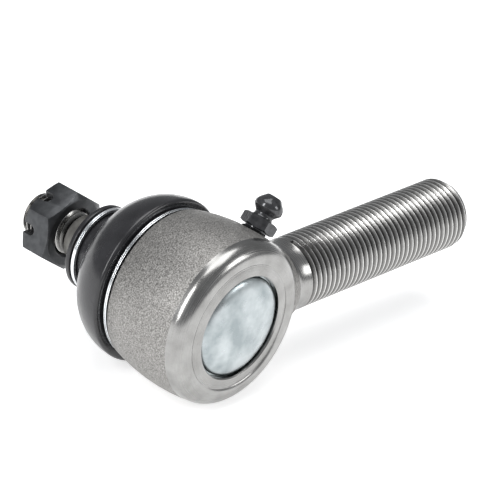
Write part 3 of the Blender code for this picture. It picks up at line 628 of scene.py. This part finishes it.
hole_outline = [
    (0, bore_radius - 2 * MM),
    (NIPPLE_THREAD_RADIUS + GAP, bore_radius - 2 * MM),
    (NIPPLE_THREAD_RADIUS + GAP, barrel_radius - 0.75 * MM),
    (NIPPLE_THREAD_RADIUS + 1.1 * MM, barrel_radius + 0.05 * MM),
    (NIPPLE_THREAD_RADIUS + 1.1 * MM, barrel_radius + 2 * MM),
    (0, barrel_radius + 2 * MM),
]
drill = stand_on_nipple_axis(turned("nipple_drill", hole_outline, UPRIGHT, steps=64))
give_finishes(drill, HOUSING_FINISHES, lambda face: FACED)
combine(housing, drill, "DIFFERENCE")
smooth(housing, 32)
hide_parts("socket_housing")
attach(housing, "housing")
report(housing)

# %% [markdown]
# ## The closure plate
# A pressed steel cup closes the housing. Its flat flange is caught under the
# rolled lip, and its middle bulges out as a shallow dome. Real ones carry a
# stamped mark, which is left out here. The wall has one thickness throughout, so
# the outline follows the dome outside and again inside.

# %% Turn the closure plate
dome_radius = lip_radius - 0.35 * MM
flange_bottom = plate_top - PLATE_WALL
dome_height = flange_bottom - plate_apex


def dome(radius, base, height, count=22):
    """A pressed dome: nearly flat in the middle, turning down quickly at its edge."""
    turns = [math.pi / 2 * step / count for step in range(count + 1)]
    return [(radius * math.cos(a), base - height * math.sin(a) ** 0.8) for a in turns]


plate_outline = [
    *dome(dome_radius - PLATE_WALL, plate_top, dome_height)[::-1],
    (plate_radius - 0.25 * MM, plate_top),
    (plate_radius, plate_top - 0.25 * MM),
    (plate_radius, flange_bottom + 0.15 * MM),
    (plate_radius - 0.15 * MM, flange_bottom),
    *dome(dome_radius, flange_bottom, dome_height),
]
plate = turned("domed_closure_plate", plate_outline)
give_finishes(plate, [zinc])
smooth(plate, 40)
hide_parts("closure_plate")
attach(plate, "housing")
report(plate)

# %% [markdown]
# ## The ball stud
# The ball and its stud are one piece of hardened steel. The taper seats in the
# steering arm, so it is ground. The thread above it takes the nut, with a groove
# where it stops, and a cross hole takes the split pin that locks the nut.

# %% Turn the stud
BALL_RADIUS = 10.0 * MM
STUD_RADIUS = 5.0 * MM
STUD_PITCH = 1.25 * MM
TAPER_START = 20.5 * MM
TAPER_END = 36.9 * MM
TAPER_SMALL = 5.1 * MM
TAPER_LARGE = TAPER_SMALL + (TAPER_END - TAPER_START) / 16
NECK_RADIUS = 5.3 * MM
BALL_FLAT = -9.2 * MM
stud_outline = [
    (0, stud_tip),
    (STUD_RADIUS - 0.6 * MM, stud_tip),
    (STUD_RADIUS - 0.15 * MM, stud_tip - 0.15 * MM),
    (STUD_RADIUS, stud_tip - 0.6 * MM),
    (STUD_RADIUS, TAPER_END + 1.8 * MM),
    (STUD_RADIUS - 0.8 * MM, TAPER_END + 1.0 * MM),
    (STUD_RADIUS - 0.8 * MM, TAPER_END + 0.4 * MM),
    (TAPER_SMALL - 0.2 * MM, TAPER_END),
    (TAPER_SMALL, TAPER_END - 0.2 * MM),
    (TAPER_LARGE, TAPER_START),
    (NECK_RADIUS, TAPER_START - 2.4 * MM),
    (NECK_RADIUS, 9.3 * MM),
    (NECK_RADIUS + 0.15 * MM, 8.75 * MM),
    *arc(0, 0, BALL_RADIUS, 53.4, -66.9, 40),
    (0, BALL_FLAT),
]


def is_stud_thread(face):
    """The thread's faces, without the flat end of the stud."""
    return int(face.center.y > TAPER_END + 0.6 * MM and face.normal.y < 0.99)


stud = turned("tapered_ball_stud", stud_outline, steps=THREAD_ROUND)
tool = thread_tool(
    "stud_thread_tool", STUD_RADIUS, STUD_PITCH, TAPER_END + 1.2 * MM, stud_tip, STUD_AXIS, "Y"
)
combine(stud, tool, "DIFFERENCE")
report(stud)

# %% [markdown]
# ## The slotted nut
# The nut starts as a six-sided cylinder. A turned envelope takes its corners off
# at both ends, as the chamfer on a real nut, and a round cutter bores it. The
# slots lie across its flats. One slot tool with a round bottom is modelled, and
# copied twice with a turn of 60 degrees.

# %% Nut blank and bore
NUT_FLATS = 16.0 * MM
NUT_TURN = 26
SLOT_TURN = NUT_TURN + 30
corner_radius = NUT_FLATS / 2 / math.cos(math.radians(30))


def turned_from_x(degrees):
    """A direction square to the stud, turned from +X towards +Z."""
    angle = math.radians(degrees)
    return Vector((math.cos(angle), 0, math.sin(angle)))


def six_sided(name, radius, bottom, top, first_corner):
    """A six-sided bar along the stud with a corner at this angle."""
    bpy.ops.object.select_all(action="DESELECT")
    bpy.ops.mesh.primitive_cylinder_add(vertices=6, radius=radius, depth=top - bottom)
    bar = bpy.context.object
    bar.name = name
    corner = turned_from_x(first_corner)
    along = STUD_AXIS[0]
    side = along.cross(corner)
    turn = Matrix((side, corner, -along)).transposed().to_4x4()
    bar.matrix_world = Matrix.Translation(along * (bottom + top) / 2) @ turn
    bpy.ops.object.transform_apply(location=True, rotation=True, scale=True)
    bpy.ops.object.mode_set(mode="EDIT")
    close_and_face_out()
    return bar


nut = six_sided("slotted_hexagon_nut", corner_radius, nut_bottom, nut_top, NUT_TURN)
face_radius = NUT_FLATS / 2 - 0.35 * MM
fall = (corner_radius - face_radius + 0.5 * MM) * math.tan(math.radians(30))
envelope_outline = [
    (0, nut_top + 0.1 * MM),
    (face_radius - 0.1 * MM / math.tan(math.radians(30)), nut_top + 0.1 * MM),
    (corner_radius + 0.5 * MM, nut_top - fall),
    (corner_radius + 0.5 * MM, nut_bottom + fall),
    (face_radius - 0.1 * MM / math.tan(math.radians(30)), nut_bottom - 0.1 * MM),
    (0, nut_bottom - 0.1 * MM),
]
combine(nut, turned("nut_envelope", envelope_outline), "INTERSECT")
bore_outline = [
    (0, nut_top + 1 * MM),
    (STUD_RADIUS + GAP + 1.7 * MM, nut_top + 1 * MM),
    (STUD_RADIUS + GAP, nut_top - 0.5 * MM),
    (STUD_RADIUS + GAP, nut_bottom + 0.5 * MM),
    (STUD_RADIUS + GAP + 1.7 * MM, nut_bottom - 1 * MM),
    (0, nut_bottom - 1 * MM),
]
combine(nut, turned("nut_bore", bore_outline), "DIFFERENCE")
report(nut)

# %% Cut the slots and the cross hole
SLOT_WIDTH = 2.5 * MM
SLOT_DEPTH = 3.3 * MM
slot_floor = nut_top - SLOT_DEPTH
slot_points = [
    (-SLOT_WIDTH / 2, nut_top + 1 * MM),
    *arc(0, slot_floor + SLOT_WIDTH / 2, SLOT_WIDTH / 2, 180, 360, 14),
    (SLOT_WIDTH / 2, nut_top + 1 * MM),
]
slot_length = 20 * MM
for count in range(3):
    way = turned_from_x(SLOT_TURN + 60 * count)
    across = way.cross(STUD_AXIS[0])
    slot_tool = draw_outline(f"slot_tool_{count}", slot_points, (STUD_AXIS[0], across), True)
    bpy.ops.mesh.edge_face_add()
    bpy.ops.transform.translate(value=-way * slot_length / 2)
    bpy.ops.mesh.extrude_region_move(TRANSFORM_OT_translate={"value": way * slot_length})
    close_and_face_out()
    combine(nut, slot_tool, "DIFFERENCE")
pin_way = turned_from_x(SLOT_TURN)
hole_station = slot_floor + SLOT_WIDTH / 2
pin_outline = [(0, -8 * MM), (1.1 * MM, -8 * MM), (1.1 * MM, 8 * MM), (0, 8 * MM)]
pin_drill = turned("pin_drill", pin_outline, (pin_way, STUD_AXIS[0]), steps=32)
select_only(pin_drill)
pin_drill.location = STUD_AXIS[0] * hole_station
bpy.ops.object.transform_apply(location=True, rotation=False, scale=False)
combine(stud, pin_drill, "DIFFERENCE")
# The bevel faces take the lighter edge finish, partly wear and partly a painted highlight.
give_finishes(nut, (oxide, worn_and_highlit_edge))
soften(nut, 0.14 * MM, 1)
smooth(nut, 30)
give_finishes(stud, (ground, threaded), is_stud_thread)
smooth(stud, 30)
for piece, node, slot in ((nut, "slotted_nut", "black_oxide"), (stud, "ball_stud", "stud_steel")):
    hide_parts(node)
    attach(piece, "stud")
    report(piece)

# %% [markdown]
# ## The dust boot
# The boot keeps grease in and water out. It is moulded as one soft wall: a bead
# in the housing's groove, a round dome that gives it slack to flex, a narrow
# waist, and a collar that hugs the stud under the nut. The outline goes up the
# outside and back down the inside, so the wall has its real thickness.

# %% Turn the boot
BOOT_WALL = 1.8 * MM
COLLAR_WALL = 2.7 * MM
DOME = 12.2 * MM
DOME_END = 62
WAIST = 2.2 * MM
WAIST_END = 255
LIP_ROUNDING = 0.7 * MM
small_ring_low, small_ring_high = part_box("boot_ring_small")
collar_radius = small_ring_high.x - RING_WALL - GAP
collar_inner = collar_radius - COLLAR_WALL
dome_centre = boot_radius - DOME
dome_station = boot_bottom + 2.3 * MM
bead_top = boot_bottom + 1.3 * MM
waist_station = small_ring_low.y - 1.6 * MM
collar_top = small_ring_high.y + GAP
boot_outline = [
    *arc(collar_radius + 0.75 * MM, boot_end - 0.3 * MM, 0.3 * MM, 90, 0, 4),
    *arc(collar_radius + 0.75 * MM, collar_top + 0.3 * MM, 0.3 * MM, 0, -90, 4),
    (collar_radius, collar_top),
    *arc(collar_radius + WAIST, waist_station, WAIST, 180, WAIST_END, 12),
    *arc(dome_centre, dome_station, DOME, DOME_END, 0, 36),
    *arc(boot_radius - LIP_ROUNDING, dome_station, LIP_ROUNDING, -15, -90, 6),
    (bead_radius, boot_bottom + 1.6 * MM),
    (bead_radius, boot_bottom + 0.2 * MM),
    (bead_radius - 0.2 * MM, boot_bottom),
    (groove_radius + GAP, boot_bottom),
    (groove_radius + GAP, bead_top),
    (spigot_radius + GAP, bead_top),
    (spigot_radius + GAP, barrel_top),
    *arc(dome_centre, dome_station, DOME - BOOT_WALL, 3, DOME_END, 20),
    *arc(collar_radius + WAIST, waist_station, WAIST + BOOT_WALL, WAIST_END, 190, 8),
    (collar_inner, small_ring_low.y - GAP),
    (collar_inner, boot_end - 0.3 * MM),
    (collar_inner + 0.3 * MM, boot_end),
]
boot = turned("rubber_dust_boot", boot_outline, closed=True)
give_finishes(boot, [rubber])
smooth(boot, 50)
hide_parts("dust_boot")
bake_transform(boot)
report(boot)

# %% [markdown]
# ## The boot's rings
# Flat spring wire is wound twice round each end of the boot. A wound wire shows
# its two turns side by side and its cut ends, which a plain hoop would not. Its
# section is a small rounded rectangle, carried along a screw line.

# %% Wind the rings
def spring_ring(name, node, body):
    low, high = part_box(node)
    outer = high.x
    inner = outer - RING_WALL
    pitch = 0.44 * MM
    height = high.y - low.y - 2 * pitch
    corner = 0.09 * MM
    section = [
        *arc(outer - corner, low.y + height - corner, corner, 90, 0, 3),
        *arc(outer - corner, low.y + corner, corner, 0, -90, 3),
        *arc(inner + corner, low.y + corner, corner, -90, -180, 3),
        *arc(inner + corner, low.y + height - corner, corner, 180, 90, 3),
    ]
    ring = wound(name, section, STUD_AXIS, "Y", pitch, 2, ROUND)
    give_finishes(ring, [wire_zinc])
    smooth(ring, 40)
    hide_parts(node)
    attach(ring, body)
    report(ring)


spring_ring("housing_end_ring", "boot_ring_large", "housing")
spring_ring("stud_end_ring", "boot_ring_small", "boot_collar")

# %% [markdown]
# ## The grease nipple
# Grease is pumped in through a standard nipple. Its head is a rounded cone with
# a waist behind it, so that the gun's jaws can grip. Below that are a small
# hexagon and a fine thread. It is made upright, where its shape is easy to read,
# and then stood on its axis in the housing.

# %% Build the nipple upright
HEX_FLATS = 7.0 * MM
NIPPLE_PITCH = 1.0 * MM
HEX_HEIGHT = 2.5 * MM
HEX_STANDOFF = 0.55 * MM
WAIST_LENGTH = 1.1 * MM
HEAD_LENGTH = 4.2 * MM
hex_bottom = barrel_radius + HEX_STANDOFF
hex_top = hex_bottom + HEX_HEIGHT
head_start = hex_top + WAIST_LENGTH
nipple_tip = head_start + HEAD_LENGTH
nipple_foot = bore_radius + GAP
check_seat = check_station + 0.54 * MM
nipple_outline = [
    (0, nipple_tip),
    (1.5 * MM, nipple_tip),
    (1.75 * MM, nipple_tip - 0.14 * MM),
    (2.75 * MM, nipple_tip - 1.3 * MM),
    (3.1 * MM, nipple_tip - 1.85 * MM),
    (3.25 * MM, nipple_tip - 2.35 * MM),
    (3.25 * MM, nipple_tip - 3.0 * MM),
    (3.08 * MM, nipple_tip - 3.3 * MM),
    (2.35 * MM, nipple_tip - 4.05 * MM),
    (2.12 * MM, head_start - 0.25 * MM),
    (2.12 * MM, head_start - 0.6 * MM),
    (2.4 * MM, hex_top + 0.05 * MM),
    (2.9 * MM, hex_top - 0.3 * MM),
    (2.5 * MM, hex_bottom + 0.5 * MM),
    (2.5 * MM, hex_bottom - 0.25 * MM),
    (NIPPLE_THREAD_RADIUS, hex_bottom - 0.5 * MM),
    (NIPPLE_THREAD_RADIUS, nipple_foot + 0.4 * MM),
    (NIPPLE_THREAD_RADIUS - 0.4 * MM, nipple_foot),
    (0, nipple_foot),
]
nipple = turned("grease_nipple", nipple_outline, UPRIGHT, steps=THREAD_ROUND)
nipple_tool = thread_tool(
    "nipple_thread_tool",
    NIPPLE_THREAD_RADIUS,
    NIPPLE_PITCH,
    nipple_foot - NIPPLE_PITCH,
    hex_bottom - 2 * NIPPLE_PITCH,
    UPRIGHT,
    "Z",
    48,
)
combine(nipple, nipple_tool, "DIFFERENCE")
report(nipple)

# %% Add its hexagon and bore
bpy.ops.object.select_all(action="DESELECT")
bpy.ops.mesh.primitive_cylinder_add(
    vertices=6,
    radius=HEX_FLATS / 2 / math.cos(math.radians(30)),
    depth=hex_top - hex_bottom,
    location=(0, 0, (hex_top + hex_bottom) / 2),
)
nipple_hex = bpy.context.object
bpy.ops.object.transform_apply(location=True, rotation=False, scale=False)
hex_corner = HEX_FLATS / 2 / math.cos(math.radians(30))
hex_envelope = [
    (0, hex_top + 0.01 * MM),
    (HEX_FLATS / 2 - 0.1 * MM, hex_top + 0.01 * MM),
    (hex_corner + 0.2 * MM, hex_top - 0.42 * MM),
    (hex_corner + 0.2 * MM, hex_bottom + 0.42 * MM),
    (HEX_FLATS / 2 - 0.1 * MM, hex_bottom - 0.01 * MM),
    (0, hex_bottom - 0.01 * MM),
]
combine(nipple_hex, turned("nipple_hex_envelope", hex_envelope, UPRIGHT, steps=60), "INTERSECT")
combine(nipple, nipple_hex, "UNION")
nipple_bore = [
    (0, nipple_tip + 1 * MM),
    (0.7 * MM, nipple_tip + 1 * MM),
    (0.7 * MM, check_seat + 0.6 * MM),
    (1.3 * MM, check_seat),
    (1.3 * MM, nipple_foot + 0.7 * MM),
    (0.6 * MM, nipple_foot + 0.7 * MM),
    (0.6 * MM, nipple_foot - 1 * MM),
    (0, nipple_foot - 1 * MM),
]
combine(nipple, turned("nipple_bore", nipple_bore, UPRIGHT, steps=36), "DIFFERENCE")
give_finishes(nipple, [gloss_black])
stand_on_nipple_axis(nipple)
smooth(nipple, 35)
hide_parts("grease_nipple_body")
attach(nipple, "housing")
report(nipple)

# %% [markdown]
# ## The pieces inside
# The bearing seats, the washer and the springs can't be seen in the closed
# joint, and the CAD model already has their right shape. They stay as they are
# and only get a finish: natural acetal for the seats, and steel for the rest.

# %% Finish the inner pieces
acetal = new_finish("natural_acetal", (0.76, 0.74, 0.67), 0.0, 0.45)
tint(acetal, noise(acetal, 300, 3.0), (0.72, 0.7, 0.63), (0.79, 0.77, 0.7))
dull(acetal, noise(acetal, 900, 2.0), 0.4, 0.52)
tempered = new_finish("tempered_spring_steel", (0.3, 0.31, 0.34), 1.0, 0.3)
tint(tempered, noise(tempered, 600, 3.0), (0.24, 0.25, 0.29), (0.36, 0.36, 0.38))
dull(tempered, noise(tempered, 1600, 2.0), 0.25, 0.38)
polished = new_finish("polished_ball_steel", (0.7, 0.7, 0.71), 1.0, 0.12)
tint(polished, noise(polished, 1500, 2.0), (0.66, 0.66, 0.67), (0.74, 0.74, 0.75))
dull(polished, noise(polished, 2500, 2.0), 0.09, 0.16)
inner_finishes = {
    "upper_bearing_seat": acetal,
    "lower_bearing_seat": acetal,
    "thrust_washer": ground,
    "preload_spring": tempered,
    "nipple_spring": tempered,
    "nipple_check_ball": polished,
}
for node, finish in inner_finishes.items():
    for holder in frame["nodes"][node].material_slots:
        holder.material = finish
    print(node, "has the finish", finish.name)

# %% [markdown]
# ## Floor and light
# The part lies on a plain pale floor under soft studio lamps. Bare metal only
# looks like metal when it has something to mirror, so one broad lamp stands to
# the left, a weaker one to the right and one overhead, with darker gaps between
# them that give the bright edges their contrast.

# %% Floor
low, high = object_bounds()
bpy.ops.object.select_all(action="DESELECT")
bpy.ops.mesh.primitive_plane_add(size=6, location=(0, 0, low.z - 0.2 * MM))
floor = bpy.context.object
floor.name = "studio_floor"
floor_paint = new_finish("pale_floor", (0.93, 0.93, 0.93), 0.0, 0.9)
tint(floor_paint, noise(floor_paint, 3, 2.0), (0.92, 0.92, 0.92), (0.94, 0.94, 0.94))
floor_shader = floor_paint.node_tree.nodes["Principled BSDF"]
floor_shader.inputs["Emission Color"].default_value = (1, 1, 1, 1)
floor_shader.inputs["Emission Strength"].default_value = 0.55
floor.data.materials.append(floor_paint)
print("floor at", round(floor.location.z / MM, 2), "mm")


# %% Lamps
def softbox(name, place, size, power):
    """A rectangular lamp that faces the middle of the part."""
    bpy.ops.object.select_all(action="DESELECT")
    bpy.ops.object.light_add(type="AREA", location=place)
    lamp = bpy.context.object
    lamp.name = name
    lamp.rotation_euler = (Vector((0.02, 0.01, 0)) - Vector(place)).to_track_quat("-Z", "Y").to_euler()
    lamp.data.shape = "RECTANGLE"
    lamp.data.size, lamp.data.size_y = size
    lamp.data.energy = power
    print(name, power, "W")


softbox("left_softbox", (-0.95, 0.15, 0.55), (0.25, 0.8), 7)
softbox("right_softbox", (0.55, -0.9, 0.5), (0.4, 0.4), 3)
softbox("top_softbox", (0.1, 0.1, 1.3), (1.0, 1.0), 11)
world = bpy.data.worlds.new("studio_air")
world.use_nodes = True
world.node_tree.nodes["Background"].inputs["Color"].default_value = (0.9, 0.92, 0.95, 1)
world.node_tree.nodes["Background"].inputs["Strength"].default_value = 0.35
bpy.context.scene.world = world
bpy.context.scene.view_settings.view_transform = "Standard"

# %% [markdown]
# ## Camera
# A long lens from about a metre away keeps the far end of the shank nearly as
# thick as the near one, so its proportions read true. The camera's three directions are given
# as vectors, and a matrix with them as its columns turns the camera.

# %% Camera
CAMERA_RIGHT = Vector((0.675, -0.726, 0.131))
CAMERA_BACK = Vector((-0.689, -0.557, 0.464)).normalized()
CAMERA_UP = CAMERA_BACK.cross(CAMERA_RIGHT).normalized()
CAMERA_PLACE = Vector((-0.6256, -0.5159, 0.4396))
bpy.ops.object.select_all(action="DESELECT")
bpy.ops.object.camera_add(location=CAMERA_PLACE)
camera = bpy.context.object
camera.matrix_world = Matrix.Translation(CAMERA_PLACE) @ (
    Matrix((CAMERA_UP.cross(CAMERA_BACK), CAMERA_UP, CAMERA_BACK)).transposed().to_4x4()
)
camera.data.lens = 316.03
camera.data.sensor_width = 36
camera.data.clip_start = 0.05
bpy.context.scene.camera = camera
print("camera", round(CAMERA_PLACE.length, 3), "m from the ball")
